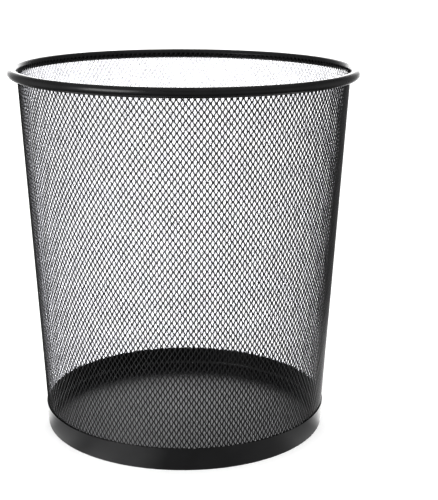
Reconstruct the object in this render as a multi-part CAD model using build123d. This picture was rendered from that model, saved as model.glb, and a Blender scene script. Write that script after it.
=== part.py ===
from build123d import *
import os
from math import asin, atan, cos, degrees, sin, tan

# Round office wastebasket: an expanded-steel cone with a tube hoop round its mouth and a pressed
# steel base. Millimetres, +Z up. The origin is the centre of the circle it stands on, and the
# sheet's lap seam and the hoop's weld lie on the +X side.

# Driving dimensions
overall_height = 312.5
rim_outer_diameter = 295.0
rim_tube_diameter = 8.0
rim_tube_wall = 0.6
rim_slit_width = 1.6        # open seam of the rolled tube, facing the wall
rim_weld_length = 1.4       # along the hoop, where its two ends meet
rim_weld_proud = 0.2        # bead left standing on the tube's underside

base_foot_radius = 120.8    # circle of contact with the ground
band_height = 19.4
band_top_radius = 123.1
band_curl_diameter = 2.4    # rolled lower edge
band_foot_flat = 0.05       # depth pressed flat along the curl's lowest line
sheet_thickness = 0.6       # base band and base pan

mesh_thickness = 0.8        # over the tilted strands
mesh_top_above_tube_centre = 1.0
mesh_bottom_height = 4.6
lap_width = 7.0

pan_floor_height = 4.0      # upper face of the floor
pan_corner_radius = 3.0
pan_flange_top_height = 19.2

contact_gap = 0.05          # between faces that only lie against each other

# Derived places
tube_radius = rim_tube_diameter / 2
tube_ring_radius = rim_outer_diameter / 2 - tube_radius
tube_centre_height = overall_height - tube_radius
half_sheet = sheet_thickness / 2
half_mesh = mesh_thickness / 2
curl_radius = band_curl_diameter / 2

# The wall's outer face runs from the band's inner face, at the band's top, to a line that is
# tangent to the hoop, so its slope follows from those two.
wall_foot_radius = band_top_radius - sheet_thickness - contact_gap
wall_slope = (tube_ring_radius - tube_radius - wall_foot_radius) / (tube_centre_height - band_height)
wall_angle = atan(wall_slope)
mesh_top_height = tube_centre_height + mesh_top_above_tube_centre


def wall_radius(height, inset):
    """Radius, at a height, of the cone that lies inset behind the wall's outer face."""
    return wall_foot_radius + (height - band_height) * wall_slope - inset / cos(wall_angle)


def revolved_sheet(centre_line, thickness, arc=360.0):
    """A sheet with rounded edges, swept about the basket's axis from its centre line."""
    outline = offset(centre_line, thickness / 2, kind=Kind.ARC, side=Side.BOTH)
    section = make_face(outline)
    right_of_axis = Plane.XZ * Pos(rim_outer_diameter / 2, overall_height / 2)
    section = section & right_of_axis * Rectangle(rim_outer_diameter, 2 * overall_height)
    return revolve(section, Axis.Z, revolution_arc=arc)


def polar(centre, radius, angle):
    """Point of the XZ plane at an angle, in radians, from +X."""
    return (centre[0] + radius * cos(angle), centre[1] + radius * sin(angle))


def make_rim_tube():
    """Rolled tube hoop with an open seam towards the wall, short of a full turn by its weld."""
    centre = (tube_ring_radius, tube_centre_height)
    middle_radius = tube_radius - rim_tube_wall / 2
    slit_half_angle = degrees(asin(rim_slit_width / 2 / tube_radius))
    section_line = Plane.XZ * CenterArc(
        centre, middle_radius, 180 + slit_half_angle, 360 - 2 * slit_half_angle
    )
    weld_angle = degrees(rim_weld_length / tube_ring_radius)
    hoop = revolved_sheet(section_line, rim_tube_wall, 360 - weld_angle)
    return Rot(0, 0, weld_angle / 2) * hoop


def make_rim_weld():
    """Butt weld that closes the hoop: flush above and outside, a low bead underneath."""
    bead_radius = tube_radius + rim_weld_proud
    bead_centre = Pos(tube_ring_radius, tube_centre_height - rim_weld_proud)
    bore = Pos(tube_ring_radius, tube_centre_height) * Circle(tube_radius - rim_tube_wall)
    slit = Pos(tube_ring_radius - tube_radius, tube_centre_height)
    section = bead_centre * Circle(bead_radius) - bore
    section = section - slit * Rectangle(tube_radius, 2 * rim_slit_width)
    weld_angle = degrees(rim_weld_length / tube_ring_radius)
    bead = revolve(Plane.XZ * section, Axis.Z, revolution_arc=weld_angle)
    middle_height = tube_centre_height - tube_radius
    flush_outside = Pos(0, 0, middle_height) * Cylinder(rim_outer_diameter / 2, 4 * tube_radius)
    clear_of_wall = Pos(0, 0, middle_height) * Cylinder(
        wall_radius(overall_height, 0) + contact_gap, 4 * tube_radius
    )
    return Rot(0, 0, -weld_angle / 2) * (bead & flush_outside) - clear_of_wall


def make_mesh_wall():
    """Envelope of the expanded-steel sheet rolled into a cone, with its lap seam inside."""
    wall_line = Plane.XZ * Line(
        (wall_radius(mesh_bottom_height, half_mesh), mesh_bottom_height),
        (wall_radius(mesh_top_height, half_mesh), mesh_top_height),
    )
    wall = revolved_sheet(wall_line, mesh_thickness)
    lap_inset = 1.5 * mesh_thickness - contact_gap
    lap_foot = band_height + mesh_thickness
    lap_line = Plane.XZ * Line(
        (wall_radius(lap_foot, lap_inset), lap_foot),
        (wall_radius(mesh_top_height, lap_inset), mesh_top_height),
    )
    lap_angle = degrees(lap_width / tube_ring_radius)
    lap = Rot(0, 0, -lap_angle / 2) * revolved_sheet(lap_line, mesh_thickness, lap_angle)
    return wall + lap


def make_base_band():
    """Outer skirt of the base; it stands on the flattened bead curled along its lower edge."""
    middle_curl_radius = curl_radius - half_sheet
    centre = (base_foot_radius, curl_radius - band_foot_flat)
    start = polar(centre, middle_curl_radius, -wall_angle)
    top_radius = start[0] + (band_height - half_sheet - start[1]) * tan(wall_angle)
    skirt = Line((top_radius, band_height - half_sheet), start)
    curl = CenterArc(centre, middle_curl_radius, -degrees(wall_angle), -250)
    band = revolved_sheet(Plane.XZ * Wire([skirt, curl]), sheet_thickness)
    below_ground = Pos(0, 0, -band_height / 2) * Cylinder(rim_outer_diameter, band_height)
    return band - below_ground


def make_base_pan():
    """Floor pressing, with a flange that stands inside the wall's lower edge."""
    flange_inset = mesh_thickness + contact_gap + half_sheet
    floor_middle = pan_floor_height - half_sheet
    flange_top = pan_flange_top_height - half_sheet
    corner_height = floor_middle + pan_corner_radius
    flange = Line(
        (wall_radius(flange_top, flange_inset), flange_top),
        (wall_radius(corner_height, flange_inset), corner_height),
    )
    corner_reach = pan_corner_radius * (1 + sin(wall_angle)) / cos(wall_angle)
    corner_end = wall_radius(floor_middle, flange_inset) - corner_reach
    corner = TangentArc(flange @ 1, (corner_end, floor_middle), tangent=flange % 1)
    floor = Line(corner @ 1, (-sheet_thickness, floor_middle))
    return revolved_sheet(Plane.XZ * Wire([flange, corner, floor]), sheet_thickness)


parts = {
    "rim_tube": make_rim_tube(),
    "rim_weld": make_rim_weld(),
    "mesh_wall": make_mesh_wall(),
    "base_band": make_base_band(),
    "base_pan": make_base_pan(),
}

os.makedirs("parts", exist_ok=True)
for name, part in parts.items():
    export_step(part, f"parts/{name}.step")
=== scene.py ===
import math

import bpy
import numpy as np
from mathutils import Matrix, Vector


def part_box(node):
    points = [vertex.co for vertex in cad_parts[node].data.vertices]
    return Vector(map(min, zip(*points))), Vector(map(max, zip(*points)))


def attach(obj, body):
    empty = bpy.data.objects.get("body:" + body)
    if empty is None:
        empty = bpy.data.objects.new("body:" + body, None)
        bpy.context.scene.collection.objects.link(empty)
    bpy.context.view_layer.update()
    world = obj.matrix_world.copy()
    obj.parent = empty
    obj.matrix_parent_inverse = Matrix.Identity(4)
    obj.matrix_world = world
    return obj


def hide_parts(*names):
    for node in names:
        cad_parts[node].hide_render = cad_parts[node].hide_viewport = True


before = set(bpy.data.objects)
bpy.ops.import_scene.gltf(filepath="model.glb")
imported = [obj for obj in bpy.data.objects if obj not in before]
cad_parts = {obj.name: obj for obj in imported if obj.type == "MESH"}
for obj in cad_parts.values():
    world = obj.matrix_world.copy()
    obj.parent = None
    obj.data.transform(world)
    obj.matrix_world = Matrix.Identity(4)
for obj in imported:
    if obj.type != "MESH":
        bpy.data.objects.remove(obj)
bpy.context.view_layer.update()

# Round mesh wastebasket. Metres, in the CAD frame: +Z up, origin at the centre of the foot circle,
# the sheet's lap seam on the +X side and the camera on the -Y side.

MM = 0.001

# ---------------------------------------------------------------------------------------------
# Places read from the frame
# ---------------------------------------------------------------------------------------------
wall_low, wall_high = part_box("mesh_wall")
band_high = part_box("base_band")[1]

SHEET_THICKNESS = 0.8 * MM      # of the CAD envelope, over the tilted strands
WALL_TOP_RADIUS = wall_high.y - SHEET_THICKNESS / 2
WALL_FOOT_HEIGHT = wall_low.z
WALL_TOP_HEIGHT = wall_high.z
BAND_SHEET = 0.6 * MM
CONTACT_GAP = 0.05 * MM         # between faces that only lie against each other


def wall_slope():
    """Radius gained per metre of height, from the band's top edge to the sheet's top edge."""
    radius_at_band = band_high.y - BAND_SHEET - CONTACT_GAP
    return (wall_high.y - radius_at_band) / (WALL_TOP_HEIGHT - band_high.z)


SLOPE = wall_slope()
WALL_ANGLE = math.atan(SLOPE)


def wall_radius(height):
    """Radius of the sheet's middle surface at a height."""
    return WALL_TOP_RADIUS - (WALL_TOP_HEIGHT - height) * SLOPE


# ---------------------------------------------------------------------------------------------
# Camera
# ---------------------------------------------------------------------------------------------
def make_camera():
    """In front of the basket and above its rim, looking slightly down.

    Its place, angles and focal length were fitted to the outlines of the rim, wall and base.
    """
    distance, height = 1.03183, 0.42572
    yaw, pitch, roll = 0.029, 0.259, 0.005
    sensor_long_side, focal_length = 36, 87.9336
    forward = Vector((
        math.sin(yaw) * math.cos(pitch),
        math.cos(yaw) * math.cos(pitch),
        -math.sin(pitch),
    ))
    right = Vector((math.cos(yaw), -math.sin(yaw), 0))
    up = right.cross(forward)
    right, up = (
        right * math.cos(roll) + up * math.sin(roll),
        up * math.cos(roll) - right * math.sin(roll),
    )
    data = bpy.data.cameras.new("camera")
    data.sensor_width = sensor_long_side
    data.lens = focal_length
    data.clip_start, data.clip_end = 0.01, 50
    camera = bpy.data.objects.new("camera", data)
    bpy.context.scene.collection.objects.link(camera)
    axes = Matrix((right, up, -forward)).transposed()
    camera.matrix_world = Matrix.Translation((0, -distance, height)) @ axes.to_4x4()
    bpy.context.scene.camera = camera


# ---------------------------------------------------------------------------------------------
# Floor and light
# ---------------------------------------------------------------------------------------------
CAMERA_SIDE = (0, -1, 0)
UP = (0, 0, 1)

# A stop of a ramp is (place, value). Places run from 0, straight against the ramp's axis, to 1,
# straight along it. Lights' powers are in watts.
WORLD_STRENGTH = 3.0
WORLD_AROUND = (                # along CAMERA_SIDE
    (0.018, 1.0), (0.032, 0.55), (0.055, 0.28), (0.08, 0.20), (0.12, 0.14), (0.17, 0.11),
    (0.24, 0.14), (0.33, 0.20), (0.43, 0.23), (0.57, 0.216), (0.71, 0.26), (0.83, 0.23),
    (0.97, 0.21),
)
WORLD_UPWARD = (                # along UP
    (0.20, 0.35), (0.33, 1.0), (0.60, 1.0), (0.69, 0.7), (0.80, 0.65), (0.92, 0.9), (1.0, 1.0),
)

SOFTBOX_POWER = 6.4
SOFTBOX_AZIMUTH = math.radians(-47)     # from straight in front; minus is to the left
SOFTBOX_ELEVATION = math.radians(20)
SOFTBOX_DISTANCE = 1.3
SOFTBOX_SIZE = (0.7, 0.8)
SOFTBOX_AIM = Vector((0, 0, 0.15))

FLOOR_HALF_SIDE = 6.0
FLOOR_ALBEDO = 0.92
FLOOR_ROUGHNESS = 0.9
FLOOR_SUN = 0.9
FLOOR_SUN_HEIGHT = 2

PAN_LIGHT_POWER = 0.3
PAN_LIGHT_PLACE = (0, 1.0, 0.38)
PAN_LIGHT_SIZE = (0.6, 0.2)

GLOW_RADII = (0.121, 0.32)      # of the glowing ring that stands in for the lit paper, from just outside the foot
GLOW_HEIGHT = 0.2 * MM
GLOW_STEPS = 96
GLOW_STRENGTH = 1.6
# Painted light and shade: bright behind and at the sides, darker to the camera as the basket's
# painted shadow.
GLOW_AXIS = (-0.03, -1, 0)
GLOW_LIGHT_AND_SHADE = (                 # along GLOW_AXIS
    (0.50, 1.0), (0.56, 0.80), (0.60, 0.50), (0.65, 0.34), (0.70, 0.42), (0.78, 0.57),
    (0.85, 0.42), (0.93, 0.40), (1.0, 0.32),
)
GLOW_STREAK_AXIS = (-0.47, -0.883, 0)
GLOW_STREAK = ((0.97, 0.0), (0.995, 0.4))   # along GLOW_STREAK_AXIS, added to the above: a painted streak of light on the softbox's side

FAR_WALL_POWER = 50.0           # of all these lights together
FAR_WALL_LIGHTS = 6
FAR_WALL_OVERHANG = 0.03        # of their row, below the ground and above the sheet
FAR_WALL_LAMP_RADIUS = 0.02
FAR_WALL_BLEND = 0.15           # softness of each light's edge, at the basket's left and right


class Nodes:
    """Short way to add and link the nodes of a material or world."""

    def __init__(self, owner):
        owner.use_nodes = True
        self.tree = owner.node_tree
        self.tree.nodes.clear()

    def add(self, kind, **values):
        node = self.tree.nodes.new(kind)
        for name, value in values.items():
            setattr(node, name, value)
        return node

    def link(self, source, target):
        self.tree.links.new(source, target)

    def math(self, operation, *values):
        node = self.add("ShaderNodeMath", operation=operation)
        for socket, value in zip(node.inputs, values):
            if isinstance(value, (int, float)):
                socket.default_value = value
            else:
                self.link(value, socket)
        return node.outputs[0]

    def ramp_along(self, direction, axis, stops):
        """Grey value of a direction, by stops, from how far it points along an axis."""
        along = self.add("ShaderNodeVectorMath", operation="DOT_PRODUCT")
        along.inputs[1].default_value = axis
        self.link(direction, along.inputs[0])
        ramp = self.add("ShaderNodeValToRGB")
        elements = ramp.color_ramp.elements
        while len(elements) < len(stops):
            elements.new(1.0)
        for element, (position, value) in zip(elements, stops):
            element.position = position
            element.color = (value, value, value, 1)
        self.link(self.math("MULTIPLY_ADD", along.outputs["Value"], 0.5, 0.5), ramp.inputs["Fac"])
        return ramp.outputs["Color"]


def make_world():
    """A white studio, brighter behind the basket than on the camera's side."""
    world = bpy.data.worlds.new("studio")
    bpy.context.scene.world = world
    n = Nodes(world)
    direction = n.add("ShaderNodeTexCoord").outputs["Generated"]
    around = n.ramp_along(direction, CAMERA_SIDE, WORLD_AROUND)
    upward = n.ramp_along(direction, UP, WORLD_UPWARD)
    background = n.add("ShaderNodeBackground")
    background.inputs["Strength"].default_value = WORLD_STRENGTH
    n.link(n.math("MULTIPLY", around, upward), background.inputs["Color"])
    n.link(background.outputs[0], n.add("ShaderNodeOutputWorld").inputs["Surface"])


def add_light(name, kind, energy, location, aim, size=None):
    """A light at a place, aimed at a point. A size is (width, height) of a rectangle."""
    data = bpy.data.lights.new(name, kind)
    data.energy = energy
    if size:
        data.shape = "RECTANGLE"
        data.size, data.size_y = size
    light = bpy.data.objects.new(name, data)
    bpy.context.scene.collection.objects.link(light)
    light.location = location
    light.rotation_mode = "QUATERNION"
    light.rotation_quaternion = (Vector(aim) - Vector(location)).to_track_quat("-Z", "Y")
    return light


def shine_on(light, lit, shading):
    """Limits a light to some objects, and its shadows to those that some objects cast."""
    for purpose, objects in (("receiver", lit), ("blocker", shading)):
        group = bpy.data.collections.new(f"{light.name}_{purpose}s")
        for member in objects:
            group.objects.link(member)
        setattr(light.light_linking, f"{purpose}_collection", group)


def make_softbox(basket):
    """Softbox to the left of the camera, for the basket alone: the streak on hoop and base."""
    direction = Vector((
        math.sin(SOFTBOX_AZIMUTH) * math.cos(SOFTBOX_ELEVATION),
        -math.cos(SOFTBOX_AZIMUTH) * math.cos(SOFTBOX_ELEVATION),
        math.sin(SOFTBOX_ELEVATION),
    ))
    place = SOFTBOX_AIM + direction * SOFTBOX_DISTANCE
    light = add_light("softbox", "AREA", SOFTBOX_POWER, place, SOFTBOX_AIM, SOFTBOX_SIZE)
    shine_on(light, basket, basket)


def make_floor():
    """Wide pale floor at the foot's height, with a light of its own that keeps it white."""
    half = FLOOR_HALF_SIDE
    mesh = bpy.data.meshes.new("floor")
    corners = [(-half, -half, 0), (half, -half, 0), (half, half, 0), (-half, half, 0)]
    mesh.from_pydata(corners, [], [(0, 1, 2, 3)])
    floor = bpy.data.objects.new("floor", mesh)
    bpy.context.scene.collection.objects.link(floor)
    material = bpy.data.materials.new("pale_floor")
    n = Nodes(material)
    shader = n.add("ShaderNodeBsdfPrincipled")
    shader.inputs["Base Color"].default_value = (FLOOR_ALBEDO, FLOOR_ALBEDO, FLOOR_ALBEDO, 1)
    shader.inputs["Roughness"].default_value = FLOOR_ROUGHNESS
    n.link(shader.outputs[0], n.add("ShaderNodeOutputMaterial").inputs["Surface"])
    mesh.materials.append(material)
    floor.visible_glossy = False
    floor.visible_diffuse = False
    overhead = add_light("floor_light", "SUN", FLOOR_SUN, (0, 0, FLOOR_SUN_HEIGHT), (0, 0, 0))
    shine_on(overhead, [floor], [floor])


def light_pan(pan):
    """Softbox low behind the basket, for the pan alone: its sheen as seen from the front."""
    light = add_light(
        "pan_light", "AREA", PAN_LIGHT_POWER, PAN_LIGHT_PLACE, (0, 0, 0), PAN_LIGHT_SIZE
    )
    shine_on(light, [pan], [pan])


def make_floor_glow():
    """A glowing ring, in place of the lit paper round the foot, which only reflections see.

    Its emission is painted light and shade: bright behind and at the sides, dimmer towards
    the camera as a painted shadow of the basket, with a painted streak of light on the
    softbox's side. It brightens the base's sides.
    """
    steps = GLOW_STEPS
    angles = [2 * math.pi * step / steps for step in range(steps)]
    points = [(r * math.cos(a), r * math.sin(a), GLOW_HEIGHT) for r in GLOW_RADII for a in angles]
    faces = [(i, i + steps, (i + 1) % steps + steps, (i + 1) % steps) for i in range(steps)]
    mesh = bpy.data.meshes.new("floor_glow")
    mesh.from_pydata(points, [], faces)
    glow = bpy.data.objects.new("floor_glow", mesh)
    bpy.context.scene.collection.objects.link(glow)
    material = bpy.data.materials.new("floor_glow")
    n = Nodes(material)
    outward = n.add("ShaderNodeVectorMath", operation="NORMALIZE")
    n.link(n.add("ShaderNodeTexCoord").outputs["Object"], outward.inputs[0])
    # Painted shade towards the camera, and a painted streak of light on the softbox's side.
    around = n.ramp_along(outward.outputs[0], GLOW_AXIS, GLOW_LIGHT_AND_SHADE)
    streak = n.ramp_along(outward.outputs[0], GLOW_STREAK_AXIS, GLOW_STREAK)
    emission = n.add("ShaderNodeEmission")
    emission.inputs["Strength"].default_value = GLOW_STRENGTH
    n.link(n.math("ADD", around, streak), emission.inputs["Color"])
    n.link(emission.outputs[0], n.add("ShaderNodeOutputMaterial").inputs["Surface"])
    mesh.materials.append(material)
    glow.visible_camera = False
    glow.visible_diffuse = False
    glow.visible_shadow = False


def light_far_wall(pieces):
    """Lights on the axis, aimed away from the camera, that wash out the wall's far half."""
    foot, top = -FAR_WALL_OVERHANG, WALL_TOP_HEIGHT + FAR_WALL_OVERHANG
    for index in range(FAR_WALL_LIGHTS):
        height = foot + (top - foot) * index / (FAR_WALL_LIGHTS - 1)
        light = add_light(
            f"far_wall_light_{index + 1}", "SPOT", FAR_WALL_POWER / FAR_WALL_LIGHTS,
            (0, 0, height), (0, 1, height),
        )
        light.data.shadow_soft_size = FAR_WALL_LAMP_RADIUS
        light.data.spot_size = math.pi
        light.data.spot_blend = FAR_WALL_BLEND
        light.visible_camera = False
        light.visible_glossy = False
        shine_on(light, pieces, pieces)


# ---------------------------------------------------------------------------------------------
# Materials
# ---------------------------------------------------------------------------------------------
BLACK = (0.020, 0.020, 0.021)
MOTTLE_SCALE = 60               # noise cells per metre
MOTTLE_DEPTH = 0.15             # share of the colour, either way
GLOSS_DRIFT = 0.04              # of the roughness, either way
COAT_IOR = 1.5


def powder_coat(name, roughness, peel_size, peel_depth):
    """Satin black powder coat: orange-peel bump, drifting gloss and a faint mottle."""
    material = bpy.data.materials.new(name)
    n = Nodes(material)
    place = n.add("ShaderNodeTexCoord").outputs["Object"]

    mottle = n.add("ShaderNodeTexNoise")
    mottle.inputs["Scale"].default_value = MOTTLE_SCALE
    mottle.inputs["Detail"].default_value = 3
    n.link(place, mottle.inputs["Vector"])
    tone = n.add("ShaderNodeValToRGB")
    dark, light = tone.color_ramp.elements
    dark.position, light.position = 0.3, 0.7
    dark.color = (*((1 - MOTTLE_DEPTH) * c for c in BLACK), 1)
    light.color = (*((1 + MOTTLE_DEPTH) * c for c in BLACK), 1)
    n.link(mottle.outputs["Fac"], tone.inputs["Fac"])

    gloss = n.add("ShaderNodeMapRange")
    gloss.inputs["To Min"].default_value = roughness - GLOSS_DRIFT
    gloss.inputs["To Max"].default_value = roughness + GLOSS_DRIFT
    n.link(mottle.outputs["Fac"], gloss.inputs["Value"])

    peel = n.add("ShaderNodeTexNoise")
    peel.inputs["Scale"].default_value = 1 / peel_size
    peel.inputs["Detail"].default_value = 2
    n.link(place, peel.inputs["Vector"])
    bump = n.add("ShaderNodeBump")
    bump.inputs["Distance"].default_value = peel_depth
    bump.inputs["Strength"].default_value = 1.0
    n.link(peel.outputs["Fac"], bump.inputs["Height"])

    shader = n.add("ShaderNodeBsdfPrincipled")
    shader.inputs["IOR"].default_value = COAT_IOR
    n.link(tone.outputs["Color"], shader.inputs["Base Color"])
    n.link(gloss.outputs["Result"], shader.inputs["Roughness"])
    n.link(bump.outputs["Normal"], shader.inputs["Normal"])
    n.link(shader.outputs[0], n.add("ShaderNodeOutputMaterial").inputs["Surface"])
    return material


# ---------------------------------------------------------------------------------------------
# Expanded-steel wall
# ---------------------------------------------------------------------------------------------
COLUMNS = 190                   # diamonds round the basket, the same at the top and at the foot
COLUMN_PITCH = 2 * math.pi / COLUMNS
SECTORS = 10                    # separate meshes that the wall is cut into
NODE_SPACING = 3.884 * MM       # along a strand, from bond to bond; it fixes the rows' pitch
STRAND_WIDTH = 1.0 * MM         # measured round the basket
STRAND_GAUGE = 0.38 * MM        # thickness of the coated strand
STRAND_TILT = math.radians(9)
STRAND_CHAMFER = 0.10 * MM
BOND_HALF_LENGTH = 0.5 * MM
CROTCH_FILLET = 0.12 * MM
RING_PLACES = (0.12, 0.88, 1)   # along a strand: where its section is fully formed, and its end
COLUMN_LEAN = 2.2               # columns of drift per metre of height
EDGE_MARGIN = 0.03 * MM         # kept between the last bonds and the sheet's edge
FIRST_ROW_PHASE = 0.295         # share of the spacing, above the sheet's lower edge
FIRST_COLUMN_ANGLE = math.radians(-90)
SECTOR_START = 10               # column; two of the sectors' joins then lie near the X axis
TOP_EDGE_HEIGHT = 304 * MM      # the rows above are behind the hoop
LAP_COLUMN = COLUMNS / 4 - 0.25         # its bonds lie by turns to either side of +X
LAP_LAYER = CONTACT_GAP - SHEET_THICKNESS
LAP_FOOT_HEIGHT = 21.0 * MM     # just above the base

COLUMN_POINTS = 3                       # outer, middle and inner
RING_POINTS = 2 * COLUMN_POINTS         # of a strand's section: its left and right column
EDGE_POINTS = 3 * COLUMN_POINTS         # of a bond's lower or upper edge: left, centre, right
BOND_POINTS = 2 * EDGE_POINTS


def row_heights():
    """Heights of the rows of bonds.

    A diamond that is stretched wider is shorter, because its strands keep their length.
    """
    heights = []
    height = WALL_FOOT_HEIGHT + FIRST_ROW_PHASE * NODE_SPACING + BOND_HALF_LENGTH
    while height < WALL_TOP_HEIGHT - BOND_HALF_LENGTH - EDGE_MARGIN:
        heights.append(height)
        half_width = wall_radius(height) * COLUMN_PITCH / 2
        height += math.sqrt(NODE_SPACING**2 - half_width**2) * math.cos(WALL_ANGLE)
    return np.array(heights)


def on_wall(angle, height, outward, layer):
    """Points at a polar angle and a height, outward of the sheet's middle surface."""
    outward = outward + layer
    radius = wall_radius(height) + outward * math.cos(WALL_ANGLE)
    lifted = height - outward * math.sin(WALL_ANGLE)
    return np.stack([radius * np.cos(angle), radius * np.sin(angle), lifted], -1)


def section(angle_left, angle_right, height, out_left, out_right, layer):
    """Hexagonal strand section, as its left and its right column of points."""
    radius = wall_radius(height)
    across = (angle_right - angle_left) * radius
    rise = out_right - out_left
    length = np.hypot(across, rise)
    along_x, along_out = across / length, rise / length
    half = STRAND_GAUGE / 2
    points = []
    for angle, out, side in ((angle_left, out_left, 1), (angle_right, out_right, -1)):
        for lift, inset in ((half, STRAND_CHAMFER), (0, 0), (-half, STRAND_CHAMFER)):
            shift = side * inset * along_x - lift * along_out
            raised = out + side * inset * along_out + lift * along_x
            points.append(on_wall(angle + shift / radius, height, raised, layer))
    return np.stack(points, -2)


def bond_points(angle, height, layer):
    """Points of a bond: for its lower and upper edge, the left, centre and right columns."""
    normal_x, normal_out = -math.sin(STRAND_TILT), math.cos(STRAND_TILT)
    reach = STRAND_WIDTH * math.tan(STRAND_TILT)
    points = []
    for end in (-1, 1):
        level = height + end * BOND_HALF_LENGTH
        half_angle = STRAND_WIDTH / wall_radius(level)
        edge = section(angle - half_angle, angle + half_angle, level, -reach, reach, layer)
        centre = []
        for lift, fillet in ((1, 0), (0, CROTCH_FILLET), (-1, 0)):
            shift = lift * STRAND_GAUGE / 2 * normal_x / wall_radius(level)
            out = lift * STRAND_GAUGE / 2 * normal_out
            centre.append(on_wall(angle + shift, level + end * fillet, out, layer))
        centre = np.stack(centre, -2)
        points += [edge[..., :COLUMN_POINTS, :], centre, edge[..., COLUMN_POINTS:, :]]
    return np.concatenate(points, -2)


def strand_rings(angle, height, next_angle, next_height, rightward, layer):
    """The inner sections of the strands that rise from one row of bonds to the next."""
    reach = STRAND_WIDTH * math.tan(STRAND_TILT)
    start, end = height + BOND_HALF_LENGTH, next_height - BOND_HALF_LENGTH
    width_low = STRAND_WIDTH / wall_radius(start)
    width_high = STRAND_WIDTH / wall_radius(end)
    low = (0, 1) if rightward else (-1, 0)
    high = (-1, 0) if rightward else (0, 1)
    rings = []
    for place in RING_PLACES:
        edges = []
        for side in (0, 1):
            first = angle + low[side] * width_low
            last = next_angle + high[side] * width_high
            out = ((1 - place) * low[side] + place * high[side]) * reach
            edges.append(((1 - place) * first + place * last, out))
        level = (1 - place) * start + place * end
        (left, out_left), (right, out_right) = edges
        rings.append(section(left, right, level, out_left, out_right, layer))
    return rings


def bridge(first, last):
    """Quads between two matching hexagonal rings, of which the second is above the first."""
    quads = []
    for a, b in ((0, 1), (1, 2), (2, 5), (5, 4), (4, 3), (3, 0)):
        quads.append(np.stack([first[:, b], first[:, a], last[:, a], last[:, b]], -1))
    return np.concatenate(quads)


def cap(ring, facing_up):
    """Two quads that close a hexagonal section."""
    order = ((0, 3, 4, 1), (1, 4, 5, 2)) if facing_up else ((0, 1, 4, 3), (1, 2, 5, 4))
    return np.concatenate([ring[:, quad] for quad in order])


def half_bond(corner, upper, right):
    """Indices of one half of a bond's edge: its left column, then its right column."""
    start = corner + (EDGE_POINTS if upper else 0) + (COLUMN_POINTS if right else 0)
    return start[:, None] + np.arange(RING_POINTS)[None]


def bond_faces(corner):
    """Outer, inner and side faces of bonds, from the index of each one's first point."""
    faces = []
    for right in (False, True):
        low, high = half_bond(corner, False, right), half_bond(corner, True, right)
        faces.append(np.stack([low[:, 0], low[:, 3], high[:, 3], high[:, 0]], -1))
        faces.append(np.stack([low[:, 5], low[:, 2], high[:, 2], high[:, 5]], -1))
        for outer, inner in ((3, 4), (4, 5)) if right else ((1, 0), (2, 1)):
            side = [low[:, outer], low[:, inner], high[:, inner], high[:, outer]]
            faces.append(np.stack(side, -1))
    return np.concatenate(faces)


def make_sheet(name, columns, rows, layer=0.0, goes_on=True):
    """Part of the expanded sheet as one closed mesh: bonds, and the strands rising from them.

    Columns and rows are (first, end). A whole turn of columns closes on itself. Strands that
    leave the part reach the bond beyond it, or are cut short of it where the sheet ends.
    """
    heights = row_heights()
    rows = np.arange(rows[0], min(rows[1], len(heights)))
    columns = np.arange(columns[0], columns[1])
    row_count, column_count = len(rows), len(columns)
    whole_turn = column_count == COLUMNS
    lean = (heights - heights.mean()) * -COLUMN_LEAN
    places = columns[None] + 0.5 * (rows % 2)[:, None] + lean[rows][:, None]
    angles = FIRST_COLUMN_ANGLE + places * COLUMN_PITCH
    levels = np.repeat(heights[rows][:, None], column_count, 1)
    points = [bond_points(angles, levels, layer).reshape(-1, 3)]
    corner = (np.arange(row_count * column_count) * BOND_POINTS).reshape(row_count, column_count)
    total = row_count * column_count * BOND_POINTS
    faces = [bond_faces(corner.ravel())]

    # Half edges of bonds that have a strand: upper or lower edge, left or right half.
    joined = np.zeros((2, 2, row_count, column_count), bool)
    here = np.arange(column_count)
    for rightward in (0, 1):
        for parity in (0, 1):
            low = np.flatnonzero((rows % 2 == parity) & (rows + 1 < len(heights)))
            if not len(low):
                continue
            there = here + parity - 1 + rightward
            if whole_turn:
                there = there % COLUMNS
            inside = np.repeat(((there >= 0) & (there < column_count))[None], len(low), 0)
            inside &= (low + 1 < row_count)[:, None]
            turn = COLUMN_PITCH * (rightward - 0.5 + lean[rows[low] + 1] - lean[rows[low]])
            rings = strand_rings(
                angles[low], levels[low], angles[low] + turn[:, None],
                np.repeat(heights[rows[low] + 1][:, None], column_count, 1), rightward, layer,
            )
            ids = []
            for ring in rings:
                shape = (len(low), column_count, RING_POINTS)
                points.append(ring.reshape(-1, 3))
                ids.append(total + np.arange(math.prod(shape)).reshape(shape))
                total += math.prod(shape)
            joined[0, rightward, low] = True
            start = half_bond(corner[low].ravel(), True, rightward)
            first, second = (ring_ids.reshape(-1, RING_POINTS) for ring_ids in ids[:2])
            faces.append(bridge(start, first))
            faces.append(bridge(first, second))
            row, column = np.nonzero(inside)
            end = half_bond(corner[low[row] + 1, there[column]], False, not rightward)
            faces.append(bridge(ids[1][row, column], end))
            joined[1, 1 - rightward, low[row] + 1, there[column]] = True
            if goes_on:
                faces.append(bridge(ids[1][~inside], ids[2][~inside]))
            faces.append(cap(ids[2 if goes_on else 1][~inside], True))
    for lower in (0, 1):
        for right in (0, 1):
            bare = half_bond(corner[~joined[lower, right]], not lower, right)
            faces.append(cap(bare, not lower))

    return mesh_object(name, np.concatenate(points), np.concatenate(faces))


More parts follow.
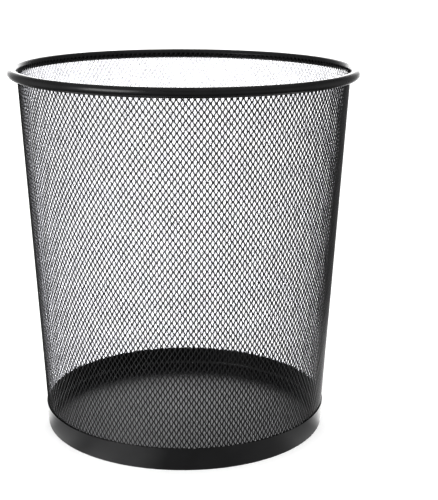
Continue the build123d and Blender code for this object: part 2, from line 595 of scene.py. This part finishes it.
def mesh_object(name, points, quads):
    """A smooth-shaded mesh object from arrays of points and quads."""
    mesh = bpy.data.meshes.new(name)
    mesh.vertices.add(len(points))
    mesh.vertices.foreach_set("co", np.ascontiguousarray(points, np.float32).ravel())
    mesh.loops.add(quads.size)
    mesh.loops.foreach_set("vertex_index", np.ascontiguousarray(quads, np.int32).ravel())
    mesh.polygons.add(len(quads))
    mesh.polygons.foreach_set("loop_start", np.arange(0, quads.size, 4, dtype=np.int32))
    mesh.polygons.foreach_set("use_smooth", np.ones(len(quads), bool))
    mesh.update(calc_edges=True)
    mesh.validate()
    made = bpy.data.objects.new(name, mesh)
    bpy.context.scene.collection.objects.link(made)
    return made


def make_wall():
    """The sheet's sectors; and its last rows, along the top edge, with the lap behind its seam."""
    coat = powder_coat("mesh_coat", roughness=0.38, peel_size=0.25 * MM, peel_depth=0.01 * MM)
    heights = row_heights()
    edge_row = int(np.searchsorted(heights, TOP_EDGE_HEIGHT))
    lap_row = int(np.searchsorted(heights, LAP_FOOT_HEIGHT))
    per_sector = COLUMNS // SECTORS
    sectors = []
    for index in range(SECTORS):
        columns = (SECTOR_START + index * per_sector, SECTOR_START + (index + 1) * per_sector)
        sectors.append(make_sheet(f"wall_sector_{index + 1:02d}", columns, (0, edge_row)))
    top_edge = make_sheet("wall_top_edge", (0, COLUMNS), (edge_row, len(heights)))
    lap_columns, lap_rows = (LAP_COLUMN, LAP_COLUMN + 1), (lap_row, len(heights) - 1)
    lap = make_sheet("wall_lap", lap_columns, lap_rows, LAP_LAYER, goes_on=False)
    for piece in (*sectors, top_edge, lap):
        piece.data.materials.append(coat)
        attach(piece, "root")
        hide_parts("mesh_wall")
    return sectors, [top_edge, lap]


# ---------------------------------------------------------------------------------------------
# The whole scene
# ---------------------------------------------------------------------------------------------
make_camera()
make_world()
make_floor()
make_floor_glow()
sectors, edge_and_lap = make_wall()
light_far_wall(sectors)
light_pan(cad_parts["base_pan"])

base_coat = powder_coat("base_coat", roughness=0.30, peel_size=0.9 * MM, peel_depth=0.006 * MM)
rim_coat = powder_coat("rim_coat", roughness=0.28, peel_size=0.7 * MM, peel_depth=0.004 * MM)
basket = [*sectors, *edge_and_lap]
for node, coat in (
    ("rim_tube", rim_coat),
    ("rim_weld", rim_coat),
    ("base_band", base_coat),
    ("base_pan", base_coat),
):
    cad_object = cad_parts[node]
    cad_object.data.materials.clear()
    cad_object.data.materials.append(coat)
    basket.append(cad_object)
make_softbox(basket)

bpy.context.scene.view_settings.view_transform = "Standard"
bpy.context.scene.view_settings.look = "Very High Contrast"
